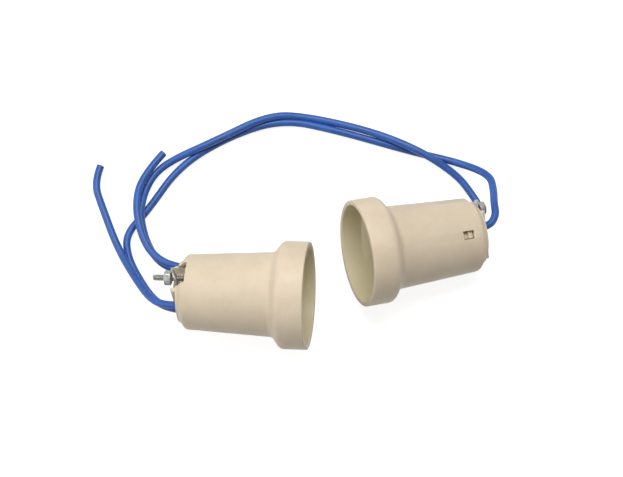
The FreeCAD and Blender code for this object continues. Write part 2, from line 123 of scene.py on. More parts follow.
# Corners of each wire's route, in millimetres, from its terminal outwards.
ROUTES = {
    "supply_lead_lower": (
        (-63.38, -22.48, 26.35), (-71.84, -22.48, 24.85), (-80.50, -20.80, 20.10),
        (-88.10, -12.70, 11.60), (-101.50, 7.20, 3.10), (-110.90, 28.20, 1.90),
        (-116.20, 40.60, 2.10), (-113.50, 49.70, 1.90)),
    "supply_lead_upper": (
        (-61.89, -2.41, 17.96), (-70.35, -2.41, 16.46), (-82.00, 2.10, 13.60),
        (-89.70, 12.40, 11.20), (-94.40, 29.50, 9.30), (-92.10, 45.10, 5.60),
        (-82.40, 58.00, 3.60)),
    "link_wire_lower": (
        (-62.76, -23.98, 22.87), (-71.23, -23.98, 21.37), (-81.20, -19.20, 13.20),
        (-90.50, -6.40, 3.70), (-96.90, 5.00, 1.90), (-98.10, 15.90, 1.90), (-88.60, 27.70, 1.90),
        (-74.00, 52.50, 1.90), (-49.10, 69.90, 1.90), (-23.30, 80.10, 1.90), (4.20, 76.20, 2.00),
        (45.20, 67.10, 1.90), (66.90, 63.30, 3.00), (82.40, 55.70, 12.30), (83.50, 45.90, 18.70),
        (82.90, 39.00, 24.10), (83.70, 31.30, 27.50), (79.77, 25.23, 28.28), (71.58, 23.06, 29.78)),
    "link_wire_upper": (
        (-61.27, -3.91, 14.49), (-69.74, -3.91, 12.98), (-81.10, 1.20, 9.20), (-88.30, 12.40, 6.70),
        (-92.40, 27.70, 6.00), (-88.50, 44.60, 2.00), (-79.30, 54.20, 2.70), (-56.70, 65.40, 6.80),
        (-30.50, 81.40, 4.30), (-10.20, 82.30, 1.95), (23.40, 76.20, 3.70), (48.20, 66.40, 7.70),
        (67.40, 56.40, 2.50), (75.10, 47.20, 1.90), (78.80, 41.40, 2.80), (78.50, 35.60, 5.40),
        (75.11, 27.98, 6.82), (66.92, 25.81, 8.32)),
}
LOOSE_WIRES = ("supply_lead_lower", "supply_lead_upper")


# ---------------------------------------------------------------- settings
def length(name, text, default):
    """Length setting in metres."""
    return bpy.props.FloatProperty(name=name, description=text, default=default,
                                   unit="LENGTH", precision=5)


def angle_of(name, text, degrees):
    """Angle setting, given in degrees."""
    return bpy.props.FloatProperty(name=name, description=text, default=math.radians(degrees),
                                   subtype="ANGLE")


def watts(name, text, default):
    """Power of a lamp in watts."""
    return bpy.props.FloatProperty(name=name, description=text, default=default, unit="POWER")


def colour(name, text, default):
    """Colour setting."""
    return bpy.props.FloatVectorProperty(name=name, description=text, default=default,
                                         subtype="COLOR", size=3, min=0, max=1)


class HolderSizes(bpy.types.PropertyGroup):
    """Sizes of one moulded holder."""
    length: length("Length", "From the modelled rear rim to the mouth", 0.0621)
    rear_reach: length("Rear reach", "From the modelled rear rim back to the finished one", 0.001)
    collar_radius: length("Collar radius", "Outside of the collar", 0.02625)
    collar_length: length("Collar length", "Straight part of the collar", 0.013)
    shoulder_length: length("Shoulder length", "Flare between the body and the collar", 0.004)
    front_radius: length("Front radius", "Body's outside at the shoulder", 0.0207)
    rear_radius: length("Rear radius", "Body's outside at the chamfer", 0.01842)
    neck_radius: length("Neck radius", "Outside of the rear neck", 0.0151)
    neck_length: length("Neck length", "Height of the rear neck", 0.0008)
    chamfer_length: length("Chamfer length", "Height of the rear chamfer", 0.0026)
    wall: length("Wall", "Wall of the moulding", 0.0025)
    neck_wall: length("Neck wall", "Wall of the rear neck", 0.0014)
    cup_depth: length("Cup depth", "Depth of the collar's cup", 0.0105)
    notch_depth: length("Notch depth", "Depth of the notches for the washers", 0.0038)
    notch_width: length("Notch width", "Width of the notches for the washers", 0.0116)
    window_width: length("Window width", "Width of a snap window", 0.004)
    window_length: length("Window length", "Length of a snap window", 0.0058)
    window_centre: length("Window centre", "From the modelled rear rim to a snap window's middle",
                          0.0102)
    window_angle: angle_of("Window angle", "Turn of one snap window about the axis", -79.5)
    far_window_angle: angle_of("Far window angle", "Turn of the other snap window", 122)
    latch_gap: length("Latch gap", "Room between a latch and its window", 0.0003)
    latch_arm: length("Latch arm", "Thickness of a latch's arm", 0.0004)
    latch_set_back: length("Latch set-back", "From the body's outside to a latch's tip", 0.0009)
    corner: length("Corner softness", "Rounding of the moulding's corners", 0.0005)


class ThreadSizes(bpy.types.PropertyGroup):
    """Sizes of the lamp thread and the fixing screw's thread."""
    crest_radius: length("Crest radius", "Inside of the rolled thread's crests", 0.01215)
    root_radius: length("Root radius", "Inside of the rolled thread's roots", 0.01325)
    pitch: length("Lamp thread pitch", "Advance of the lamp thread in one turn", 0.003629)
    sheet: length("Shell sheet", "Thickness of the shell's sheet", 0.0004)
    floor: length("Floor height", "Height of the shell's floor above the rear rim", 0.020)
    foot: length("Foot height", "Plain foot of the shell", 0.0052)
    front: length("Front height", "Height of the shell's lip above the rear rim", 0.0401)
    lip: length("Lip width", "Width of the shell's lip", 0.0019)
    floor_hole: length("Floor hole radius", "Hole in the floor, clear of the contact", 0.0093)
    screw_radius: length("Screw radius", "Outside of the fixing screw's thread", 0.0016)
    screw_pitch: length("Screw pitch", "Advance of the fixing screw's thread in one turn", 0.0008)
    screw_depth: length("Screw thread depth", "Depth of the fixing screw's thread", 0.00036)
    screw_head: length("Screw head", "Height of the fixing screw's head", 0.0018)
    stud_radius: length("Stud radius", "Distance of the fixing screw from the holder's axis", 0.012)
    nut_corner: length("Nut corner radius", "Turned corners of the nut", 0.00362)


class WireSizes(bpy.types.PropertyGroup):
    """Sizes of the insulated wires."""
    diameter: length("Wire diameter", "Outside of the insulation", 0.0038)
    core: length("Core diameter", "Solid copper core", 0.0018)


class FinishColours(bpy.types.PropertyGroup):
    """Colours of the finishes."""
    cream: colour("Housing", "Moulded housing", (0.80, 0.675, 0.505))
    stain: colour("Stains", "Handling marks on the mouldings", (0.72, 0.57, 0.40))
    # Painted bounce light: the inside colour is a yellower tint that stands in for light reflected
    # inside the cup, not an unpolished finish.
    inside: colour("Inside", "Unpolished inside of the housing", (0.78, 0.70, 0.47))
    insert: colour("Contact block", "Moulded contact block", (0.80, 0.73, 0.55))
    nickel: colour("Shell", "Nickel-plated shell", (0.66, 0.63, 0.55))
    zinc: colour("Fixings", "Zinc-plated screws, nuts and washers", (0.56, 0.555, 0.54))
    brass: colour("Brass", "Terminals and rivets", (0.74, 0.57, 0.27))
    bronze: colour("Spring strip", "Sprung centre contact", (0.72, 0.48, 0.26))
    blue: colour("Insulation", "Wire insulation", (0.030, 0.118, 0.44))
    copper: colour("Copper", "Wire cores", (0.82, 0.44, 0.26))


class StageSettings(bpy.types.PropertyGroup):
    """Camera, lamps and floor."""
    elevation: angle_of("Elevation", "Camera's height as an angle", 78.6)
    yaw: angle_of("Yaw", "Camera's turn about the vertical", -13.59)
    roll: angle_of("Roll", "Camera's turn about its own axis", 16.9)
    distance: length("Distance", "From the camera to its target", 0.829)
    lens: bpy.props.FloatProperty(name="Lens", description="Focal length", default=94.94,
                                  unit="CAMERA")
    target: bpy.props.FloatVectorProperty(name="Target", description="Point the camera looks at",
                                          default=(-0.00528, 0.0196, 0), size=3, unit="LENGTH")
    key: watts("Key lamp", "Power of the key lamp", 17.0)
    side: watts("Side lamp", "Power of the side lamp", 4.6)
    ambient: bpy.props.FloatProperty(name="Ambient", default=0.26,
                                     description="Strength of the surrounding light")


# ---------------------------------------------------------------- working on pieces
def deselect():
    """Clear the selection."""
    bpy.ops.object.select_all(action="DESELECT")


def work_on(piece):
    """Make one piece the only selected and active one."""
    deselect()
    piece.select_set(True)
    bpy.context.view_layer.objects.active = piece


def apply_modifier(piece, kind, **settings):
    """Add a modifier, set it and apply it."""
    work_on(piece)
    modifier = piece.modifiers.new(kind.title(), kind)
    for key, value in settings.items():
        setattr(modifier, key, value)
    bpy.ops.object.modifier_apply(modifier=modifier.name)


def ring_of(vertex):
    """Radius and height of a vertex about the turning axis."""
    return math.hypot(vertex.co.x, vertex.co.y), vertex.co.z


def turned(name, outline, sides=HOLDER_SIDES):
    """Closed wall turned about Z: one ring extruded and resized from corner to corner."""
    deselect()
    radius, height = outline[0]
    bpy.ops.mesh.primitive_circle_add(vertices=sides, radius=radius, location=(0, 0, height))
    piece = bpy.context.object
    piece.name = name
    bpy.ops.object.transform_apply(location=True)
    bpy.ops.object.mode_set(mode="EDIT")
    bpy.ops.mesh.select_mode(type="VERT")
    bpy.ops.mesh.select_all(action="SELECT")
    for (r0, z0), (r1, z1) in zip(outline, outline[1:] + outline[:1]):
        bpy.ops.mesh.extrude_region_move(TRANSFORM_OT_translate={"value": (0, 0, z1 - z0)})
        if abs(r1 - r0) > 1e-9:
            bpy.ops.transform.resize(value=(r1 / r0, r1 / r0, 1), center_override=(0, 0, z1))
    bpy.ops.mesh.select_all(action="SELECT")
    bpy.ops.mesh.remove_doubles(threshold=WELD)
    bpy.ops.mesh.normals_make_consistent(inside=False)
    bpy.ops.object.mode_set(mode="OBJECT")
    return piece


def soften_rings(piece, rings, width, segments=4):
    """Round the ring edges that lie at the given radii and heights."""
    work_on(piece)
    bpy.ops.object.mode_set(mode="EDIT")
    bpy.ops.mesh.select_all(action="DESELECT")
    bpy.ops.mesh.select_mode(type="EDGE")
    bpy.ops.object.mode_set(mode="OBJECT")
    for edge in piece.data.edges:
        ends = [ring_of(piece.data.vertices[i]) for i in edge.vertices]
        edge.select = any(all(math.dist(end, ring) < RING_TOLERANCE for end in ends)
                          for ring in rings)
    bpy.ops.object.mode_set(mode="EDIT")
    bpy.ops.mesh.bevel(offset=width, segments=segments, affect="EDGES")
    bpy.ops.object.mode_set(mode="OBJECT")


def soften(piece, width, angle, segments=2):
    """Round every edge sharper than an angle, as far as the faces beside it leave room."""
    apply_modifier(piece, "BEVEL", width=width, segments=segments, limit_method="ANGLE",
                   angle_limit=angle, use_clamp_overlap=True)


def cut(piece, centre, size, turn=0.0):
    """Cut a box-shaped opening out of a piece."""
    deselect()
    bpy.ops.mesh.primitive_cube_add(size=1)
    cutter = bpy.context.object
    cutter.matrix_world = (Matrix.Rotation(turn, 4, "Z") @ Matrix.Translation(centre)
                           @ Matrix.Diagonal((*size, 1)))
    bpy.ops.object.transform_apply(location=True, rotation=True, scale=True)
    apply_modifier(piece, "BOOLEAN", object=cutter, operation="DIFFERENCE", solver="EXACT")
    bpy.data.objects.remove(cutter)


def roll_thread(piece, pitch, depth, start, end, walls):
    """Push a sheet's two walls out along a helix, as a rolling tool does, up to the plain ends."""
    for vertex in piece.data.vertices:
        radius, height = ring_of(vertex)
        if not start - END_TOLERANCE <= height <= end + END_TOLERANCE:
            continue
        if min(abs(radius - wall) for wall in walls) > WALL_TOLERANCE:
            continue
        angle = math.atan2(vertex.co.y, vertex.co.x)
        wave = 0.5 - 0.5 * math.cos(2 * math.pi * height / pitch - angle)
        plain = max(0.0, 1 - min(height - start, end - height) / THREAD_BLEND)
        grown = (radius + depth * max(wave, plain)) / radius
        vertex.co.x *= grown
        vertex.co.y *= grown


def thread_ridge(name, radius, pitch, depth, turns):
    """Ridge of a screw thread wound round Z, from height zero upwards."""
    deselect()
    bpy.ops.mesh.primitive_circle_add(vertices=4, radius=1, rotation=(math.pi / 2, 0, 0))
    piece = bpy.context.object
    piece.name = name
    bpy.ops.object.transform_apply(rotation=True)
    piece.scale = (depth, 1, RIDGE_WIDTH * pitch)
    piece.location = (radius - depth, 0, 0)
    bpy.ops.object.transform_apply(location=True, scale=True)
    apply_modifier(piece, "SCREW", axis="Z", screw_offset=pitch, iterations=turns,
                   steps=RIDGE_STEPS, render_steps=RIDGE_STEPS)
    bpy.ops.object.mode_set(mode="EDIT")
    bpy.ops.mesh.select_mode(type="VERT")
    bpy.ops.mesh.select_all(action="SELECT")
    bpy.ops.mesh.fill_holes(sides=4)
    bpy.ops.mesh.normals_make_consistent(inside=False)
    bpy.ops.object.mode_set(mode="OBJECT")
    return piece


def join(piece, others):
    """Join others into one piece."""
    deselect()
    for other in others:
        other.select_set(True)
    piece.select_set(True)
    bpy.context.view_layer.objects.active = piece
    bpy.ops.object.join()
    return piece


def rounded_copy(node, width, reshape=None):
    """Merged copy of a modelled piece, reshaped where asked, with softened edges."""
    source = frame["nodes"][node]
    piece = bpy.data.objects.new(node + "_finished", source.data.copy())
    bpy.context.scene.collection.objects.link(piece)
    work_on(piece)
    bpy.ops.object.mode_set(mode="EDIT")
    bpy.ops.mesh.select_all(action="SELECT")
    bpy.ops.mesh.remove_doubles(threshold=NODE_WELD)
    bpy.ops.object.mode_set(mode="OBJECT")
    for vertex in piece.data.vertices if reshape else ():
        vertex.co = reshape(vertex.co)
    bpy.ops.object.mode_set(mode="EDIT")
    bpy.ops.mesh.dissolve_limited(angle_limit=math.radians(FLAT_ANGLE))
    bpy.ops.object.mode_set(mode="OBJECT")
    soften(piece, width, math.radians(EDGE_ANGLE))
    return piece


def finish(piece, body, slot, material, node=None, smooth=SMOOTH_ANGLE):
    """Shade, paint and mount a finished piece."""
    work_on(piece)
    if piece.type == "MESH":
        if not piece.data.polygons:
            raise RuntimeError(f"{piece.name} has no faces")
        bpy.ops.object.shade_smooth_by_angle(angle=math.radians(smooth))
    piece.data.materials.clear()
    piece.data.materials.append(material)
    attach(piece, body)
    if node:
        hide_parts(node)
    return piece


def place_of(side):
    """Matrix of a holder's own frame: rear rim's centre, X to the fixing screw, Z to the mouth."""
    mounts = {mount["name"]: mount for mount in frame["record"]["mounts"]}
    rear, slot = mounts[side + "_rear_face"], mounts[side + "_spare_fixing_slot"]
    axis = -Vector(rear["axis"]).normalized()
    origin = Vector(rear["pos_m"]) + axis * TAIL_LENGTH
    stud = origin - Vector(slot["pos_m"])
    stud = (stud - axis * stud.dot(axis)).normalized()
    across = axis.cross(stud)
    return Matrix.Translation(origin) @ Matrix((stud, across, axis)).transposed().to_4x4()


def reach_of(node, place):
    """Lowest and highest corner of a modelled piece in a holder's own frame."""
    back = place.inverted()
    corners = [back @ vertex.co for vertex in frame["nodes"][node].data.vertices]
    return [Vector(pick(corner[i] for corner in corners) for i in range(3)) for pick in (min, max)]


def put(piece, matrix):
    """Place a piece in its holder, with the place in its mesh."""
    piece.matrix_world = matrix
    work_on(piece)
    bpy.ops.object.transform_apply(location=True, rotation=True, scale=True)
    return piece


# ---------------------------------------------------------------- finishes
class Value:
    """A shader socket that takes Python arithmetic."""

    def __init__(self, finish, socket):
        self.finish, self.socket = finish, socket

    def _math(self, operation, first, second):
        return self.finish.node("ShaderNodeMath", {"operation": operation}, {0: first, 1: second})

    def __add__(self, other):
        return self._math("ADD", self, other)

    __radd__ = __add__

    def __mul__(self, other):
        return self._math("MULTIPLY", self, other)



class Finish:
    """One material being wired from nodes."""

    def __init__(self, name):
        self.material = bpy.data.materials.new(name)
        self.material.use_nodes = True
        self.tree = self.material.node_tree
        self.tree.nodes.clear()
        self.place = self.node("ShaderNodeTexCoord", output="Object")

    def node(self, kind, settings=None, inputs=None, output=0):
        """Add a node, set it, feed its inputs and return one output."""
        made = self.tree.nodes.new(kind)
        for key, value in (settings or {}).items():
            setattr(made, key, value)
        for key, value in (inputs or {}).items():
            if isinstance(value, Value):
                self.tree.links.new(value.socket, made.inputs[key])
                continue
            socket = made.inputs[key]
            rgba = hasattr(value, "__len__") and len(value) == 3 and len(socket.default_value) == 4
            socket.default_value = (*value, 1) if rgba else value
        return Value(self, made.outputs[output])

    def noise(self, scale, detail, roughness, stretch=None):
        """Cloudy pattern through the piece, with a scale in patches per metre."""
        place = self.place
        if stretch:
            place = self.node("ShaderNodeMapping", {}, {"Vector": place, "Scale": stretch})
        inputs = {"Vector": place, "Scale": scale, "Detail": detail, "Roughness": roughness}
        return self.node("ShaderNodeTexNoise", {}, inputs, "Fac")

    def mix(self, share, first, second):
        """Blend of two colours."""
        return self.node("ShaderNodeMix", {"data_type": "RGBA"}, {0: share, 6: first, 7: second}, 2)

    def between(self, value, low, high):
        """Share of the way from one level of a pattern to another, from 0 to 1."""
        inputs = {"Value": value, "From Min": low, "From Max": high}
        return self.node("ShaderNodeMapRange", {}, inputs)

    def bump(self, height, distance, strength):
        """Normal from a height pattern, with its depth in metres."""
        inputs = {"Height": height, "Distance": distance, "Strength": strength}
        return self.node("ShaderNodeBump", {}, inputs)

    def surface(self, **inputs):
        """Surface shader of the finish."""
        named = {key.replace("_", " "): value for key, value in inputs.items()}
        shader = self.node("ShaderNodeBsdfPrincipled", {}, named)
        self.output(shader)
        return self.material

    def output(self, shader):
        """Material output."""
        made = self.tree.nodes.new("ShaderNodeOutputMaterial")
        self.tree.links.new(shader.socket, made.inputs["Surface"])


def shade(base, share):
    """Colour made lighter or darker."""
    return tuple(min(1.0, channel * share) for channel in base)


def moulded(name, base, warm, inner=None):
    """Satin moulded plastic: cloudy flow marks, fine grain, handling marks and a soft sheen."""
    f = Finish(name)
    clouds = f.between(f.noise(38, 4, 0.55), 0.35, 0.68)
    stains = f.between(f.noise(22, 3, 0.5), 0.5, 0.72)
    streaks = f.between(f.noise(160, 3, 0.6, (1, 1, 0.16)), 0.42, 0.7)
    specks = f.between(f.noise(2600, 2, 0.6), 0.69, 0.78)
    tone = f.mix(clouds, shade(base, 0.95), shade(base, 1.035))
    tone = f.mix(stains * 0.45, tone, warm)
    tone = f.mix(streaks * 0.3, tone, warm)
    tone = f.mix(specks * 0.35, tone, shade(base, 0.6))
    # Painted bounce light: faces marked inside take the inner colour, a tint standing in for light
    # reflected inside the cup.
    if inner:
        inside = f.node("ShaderNodeAttribute", {"attribute_name": "inside"}, output="Fac")
        tone = f.mix(inside, tone, inner)
    grain = f.noise(5200, 3, 0.6)
    ripple = f.noise(210, 2, 0.5)
    rough = 0.42 + clouds * 0.10 + streaks * 0.06
    relief = f.bump(grain * 0.35 + ripple, 0.00005, 0.5)
    return f.surface(Base_Color=tone, Roughness=rough, Normal=relief)


def plated(name, base, low, high, scale=420):
    """Plated metal: cloudy plating, fine brushing and dull patches."""
    f = Finish(name)
    clouds = f.between(f.noise(scale, 4, 0.6), 0.33, 0.7)
    scratches = f.between(f.noise(2200, 4, 0.7, (1, 0.12, 1)), 0.4, 0.75)
    tone = f.mix(clouds, shade(base, 0.8), shade(base, 1.12))
    rough = low + clouds * (high - low) + scratches * 0.08
    return f.surface(Base_Color=tone, Metallic=1.0, Roughness=rough,
                     Normal=f.bump(scratches + clouds, 0.00002, 0.5))


def insulation(name, base):
    """Extruded insulation: faint drag marks, a soft gloss and scuffed patches."""
    f = Finish(name)
    clouds = f.between(f.noise(130, 4, 0.6), 0.36, 0.68)
    scuffs = f.between(f.noise(620, 5, 0.7), 0.58, 0.72)
    tone = f.mix(clouds, shade(base, 0.86), shade(base, 1.14))
    tone = f.mix(scuffs * 0.25, tone, (0.12, 0.26, 0.60))
    rough = 0.38 + clouds * 0.10 + scuffs * 0.16
    relief = f.bump(f.noise(900, 3, 0.6), 0.00006, 0.6)
    return f.surface(Base_Color=tone, Roughness=rough, Normal=relief)


def finishes():
    """Every finish by its slot, made once."""
    made = {m["finish_slot"]: m for m in bpy.data.materials if "finish_slot" in m}
    if made:
        return made
    c = bpy.context.scene.lamp_colours
    stain = tuple(c.stain)
    made = {
        "cream_moulding": moulded("cream_moulding", tuple(c.cream), stain, tuple(c.inside)),
        "cream_insert": moulded("cream_insert", tuple(c.insert), stain),
        "shell_metal": plated("shell_metal", tuple(c.nickel), 0.22, 0.42, 300),
        "spring_bronze": plated("spring_bronze", tuple(c.bronze), 0.25, 0.42),
        "brass_parts": plated("brass_parts", tuple(c.brass), 0.25, 0.45),
        "zinc_hardware": plated("zinc_hardware", tuple(c.zinc), 0.38, 0.58, 700),
        "blue_insulation": insulation("blue_insulation", tuple(c.blue)),
        "copper_core": plated("copper_core", tuple(c.copper), 0.25, 0.4),
    }
    for slot, material in made.items():
        material["finish_slot"] = slot
    return made


# ---------------------------------------------------------------- pieces
class LAMPHOLDER_OT_housings(bpy.types.Operator):
    """Moulded housings: tapered body, flared collar, chamfered neck, notches and snap windows"""
    bl_idname = "lampholder.housings"
    bl_label = "Housings"

    def execute(self, context):
        s = context.scene.lamp_holder
        wall, rim = s.wall, -s.rear_reach
        neck_z, rear_z = rim + s.neck_length, rim + s.neck_length + s.chamfer_length
        collar_z = s.length - s.collar_length
        shoulder_z = collar_z - s.shoulder_length
        cup_r, neck_bore = s.collar_radius - wall, s.neck_radius - s.neck_wall
        outline = [
            (neck_bore, rim), (s.neck_radius, rim), (s.neck_radius, neck_z),
            (s.rear_radius, rear_z), (s.front_radius, shoulder_z), (s.collar_radius, collar_z),
            (s.collar_radius, s.length), (cup_r, s.length), (cup_r, s.length - s.cup_depth),
            (s.front_radius - wall, shoulder_z + wall),
            (s.rear_radius - wall, rear_z + s.neck_wall / 2),
            (neck_bore, neck_z + s.neck_wall / 2)]
        for side in SIDES:
            piece = turned(side + "_housing_finished", outline)
            soften_rings(piece, [outline[3]], CHAMFER_ROUND)
            soften_rings(piece, [outline[4], outline[5]], FLARE_ROUND, 5)
            soften_rings(piece, [outline[6], outline[7]], MOUTH_ROUND)
            soften_rings(piece, [outline[8], outline[9]], s.corner, 3)
            soften_rings(piece, [outline[0], outline[1], outline[2]], RIM_ROUND, 2)
            cut(piece, (0, 0, (s.notch_depth - CUT_OVERRUN) / 2),
                (4 * s.rear_radius, s.notch_width, s.notch_depth + CUT_OVERRUN))
            for angle in (s.window_angle, s.far_window_angle):
                cut(piece, (s.rear_radius, 0, s.window_centre),
                    (3 * wall, s.window_width, s.window_length), angle)
            soften(piece, OPENING_ROUND, math.radians(OPENING_ANGLE))
            # Mark the cup's and body's inner walls, which take the painted bounce-light tint.
            inside = piece.data.attributes.new("inside", "FLOAT", "POINT")
            for vertex, share in zip(piece.data.vertices, inside.data):
                radius, height = ring_of(vertex)
                in_cup = height > shoulder_z + wall - CUP_LEAD
                bore = cup_r if in_cup else s.front_radius - wall
                share.value = float(radius < bore + BORE_TOLERANCE and height > rear_z + wall)
            put(piece, place_of(side))
            finish(piece, "holders", "cream_moulding", finishes()["cream_moulding"],
                   side + "_housing")
        return {"FINISHED"}


class LAMPHOLDER_OT_contact_blocks(bpy.types.Operator):
    """Contact blocks: slotted tails, skirts, and snap latches with their hooks in the windows"""
    bl_idname = "lampholder.contact_blocks"
    bl_label = "Contact blocks"

    def execute(self, context):
        s = context.scene.lamp_holder
        cream = finishes()["cream_insert"]
        bore = s.rear_radius - s.wall
        for side in SIDES:
            node, place = side + "_contact_block", place_of(side)
            back = place.inverted()

            def without_latches(corner):
                own = back @ corner
                radius = math.hypot(own.x, own.y)
                if radius > bore - BORE_TOLERANCE and own.z < LATCH_TOP:
                    own.x = own.x * (bore - LATCH_CLEARANCE) / radius
                    own.y = own.y * (bore - LATCH_CLEARANCE) / radius
                return place @ own

            piece = rounded_copy(node, BLOCK_ROUND, without_latches)
            finish(piece, "holders", "cream_insert", cream, node)
            for number, angle in enumerate((s.window_angle, s.far_window_angle)):
                latch = self.latch(s, bore)
                latch.name = f"{side}_latch_{number + 1}"
                put(latch, place @ Matrix.Rotation(angle, 4, "Z"))
                finish(latch, "holders", "cream_insert", cream)
        return {"FINISHED"}

    def latch(self, s, bore):
        """Snap latch along +X: a thin arm with a ramped hook in the rear half of its window."""
        rear = s.window_centre - s.window_length / 2 + s.latch_gap
        front = s.window_centre + s.window_length / 2 + s.latch_arm
        top, width = bore - s.latch_gap, s.window_width - 2 * s.latch_gap
        deselect()
        bpy.ops.mesh.primitive_cube_add(size=1)
        piece = bpy.context.object
        piece.scale = (s.latch_arm, width, front - rear)
        piece.location = (top - s.latch_arm / 2, 0, (front + rear) / 2)
        bpy.ops.object.transform_apply(location=True, scale=True)
        bpy.ops.object.mode_set(mode="EDIT")
        bpy.ops.mesh.select_all(action="SELECT")
        bpy.ops.mesh.bisect(plane_co=(0, 0, s.window_centre), plane_no=(0, 0, 1))
        bpy.ops.mesh.select_all(action="DESELECT")
        bpy.ops.mesh.select_mode(type="FACE")
        bpy.ops.object.mode_set(mode="OBJECT")
        for face in piece.data.polygons:
            face.select = face.normal.x > 0.9 and face.center.z < s.window_centre
        bpy.ops.object.mode_set(mode="EDIT")
        rise = s.rear_radius - s.latch_set_back - top
        bpy.ops.mesh.extrude_region_move(TRANSFORM_OT_translate={"value": (rise, 0, 0)})
        bpy.ops.object.mode_set(mode="OBJECT")
        for vertex in piece.data.vertices:
            if vertex.co.x > bore and vertex.co.z < s.window_centre - STEP_TOLERANCE:
                vertex.co.x -= s.latch_set_back
        apply_modifier(piece, "BEVEL", width=SMALL_PART_ROUND, segments=2, limit_method="ANGLE")
        return piece


class LAMPHOLDER_OT_screw_shells(bpy.types.Operator):
    """Screw shells: thin turned sheet with the lamp thread rolled into it"""
    bl_idname = "lampholder.screw_shells"
    bl_label = "Screw shells"

    def execute(self, context):
        t = context.scene.lamp_thread
        depth, sheet = t.root_radius - t.crest_radius, t.sheet
        start, end = t.floor + t.foot, t.front
        heights = [start + (end - start) * i / SHELL_STEPS for i in range(SHELL_STEPS + 1)]
        walls = (t.crest_radius, t.crest_radius + sheet)
        inner = [(walls[0], z) for z in heights]
        outer = [(walls[1], z) for z in reversed(heights)]
        lip_r = t.root_radius + sheet + t.lip
        top = [(t.root_radius + sheet / 2, t.front + sheet), (lip_r, t.front + sheet),
               (lip_r, t.front)]
        foot = [(t.root_radius + sheet, t.floor), (t.floor_hole, t.floor),
                (t.floor_hole, t.floor + sheet), (t.root_radius, t.floor + sheet)]
        for side in SIDES:
            piece = turned(side + "_screw_shell_finished", inner + top + outer + foot, SHELL_SIDES)
            roll_thread(piece, t.pitch, depth, start, end, walls)
            put(piece, place_of(side))
            finish(piece, "holders", "shell_metal", finishes()["shell_metal"],
                   side + "_screw_shell", THREAD_SMOOTH_ANGLE)
        return {"FINISHED"}


class LAMPHOLDER_OT_contacts(bpy.types.Operator):
    """Sprung centre contacts, rivets, terminals and clamp screws"""
    bl_idname = "lampholder.contacts"
    bl_label = "Contacts"

    def execute(self, context):
        for side in SIDES:
            leaf = side + "_centre_contact"
            finish(rounded_copy(leaf, THIN_PART_ROUND), side + "_leaf", "spring_bronze",
                   finishes()["spring_bronze"], leaf)
            for name in ("centre_rivet", "shell_rivet", "centre_terminal", "shell_terminal"):
                node = f"{side}_{name}"
                finish(rounded_copy(node, SMALL_PART_ROUND), "holders", "brass_parts",
                       finishes()["brass_parts"], node)
            for name in ("centre_clamp_screw", "shell_clamp_screw"):
                node = f"{side}_{name}"
                finish(rounded_copy(node, THIN_PART_ROUND), "holders", "zinc_hardware",
                       finishes()["zinc_hardware"], node)
        return {"FINISHED"}


class LAMPHOLDER_OT_fixings(bpy.types.Operator):
    """Fixing screws with their threads, turned hexagon nuts and loose washers"""
    bl_idname = "lampholder.fixings"
    bl_label = "Fixings"

    def execute(self, context):
        t = context.scene.lamp_thread
        zinc = finishes()["zinc_hardware"]
        for side in SIDES:
            place = place_of(side)
            finish(self.screw(side, place, t), "holders", "zinc_hardware", zinc,
                   side + "_fixing_screw")
            finish(self.nut(side, place, t), "holders", "zinc_hardware", zinc,
                   side + "_fixing_nut")
            node = side + "_fixing_washer"
            finish(rounded_copy(node, WASHER_ROUND), "holders", "zinc_hardware", zinc, node)
        return {"FINISHED"}

    def screw(self, side, place, t):
        """Headed screw whose shank is cut down to the roots, with a ridge wound round it."""
        node, back = side + "_fixing_screw", place.inverted()
        low, high = reach_of(node, place)
        root = t.screw_radius - t.screw_depth

        def to_root(corner):
            own = back @ corner
            away = Vector((own.x - t.stud_radius, own.y))
            if abs(away.length - t.screw_radius) < SHANK_TOLERANCE:
                own.x = t.stud_radius + away.x * root / away.length
                own.y = away.y * root / away.length
            return place @ own

        piece = rounded_copy(node, SCREW_ROUND, to_root)
        run = high.z - t.screw_head - low.z - RIDGE_START
        ridge = thread_ridge(side + "_screw_ridge", t.screw_radius, t.screw_pitch, t.screw_depth,
                             int(run / t.screw_pitch))
        put(ridge, place @ Matrix.Translation((t.stud_radius, 0, low.z + RIDGE_START)))
        return join(piece, [ridge])

    def nut(self, side, place, t):
        """Hexagon nut with its corners turned off at both faces."""
        node = side + "_fixing_nut"
        low, high = reach_of(node, place)
        piece = rounded_copy(node, NUT_ROUND)
        deselect()
        bpy.ops.mesh.primitive_cylinder_add(vertices=NUT_SIDES, radius=t.nut_corner,
                                            depth=high.z - low.z + NUT_SPARE)
        turning = bpy.context.object
        apply_modifier(turning, "BEVEL", width=NUT_TURNING_ROUND, segments=3, limit_method="ANGLE")
        put(turning, place @ Matrix.Translation((t.stud_radius, 0, (low.z + high.z) / 2)))
        apply_modifier(piece, "BOOLEAN", object=turning, operation="INTERSECT", solver="EXACT")
        bpy.data.objects.remove(turning)
        return piece


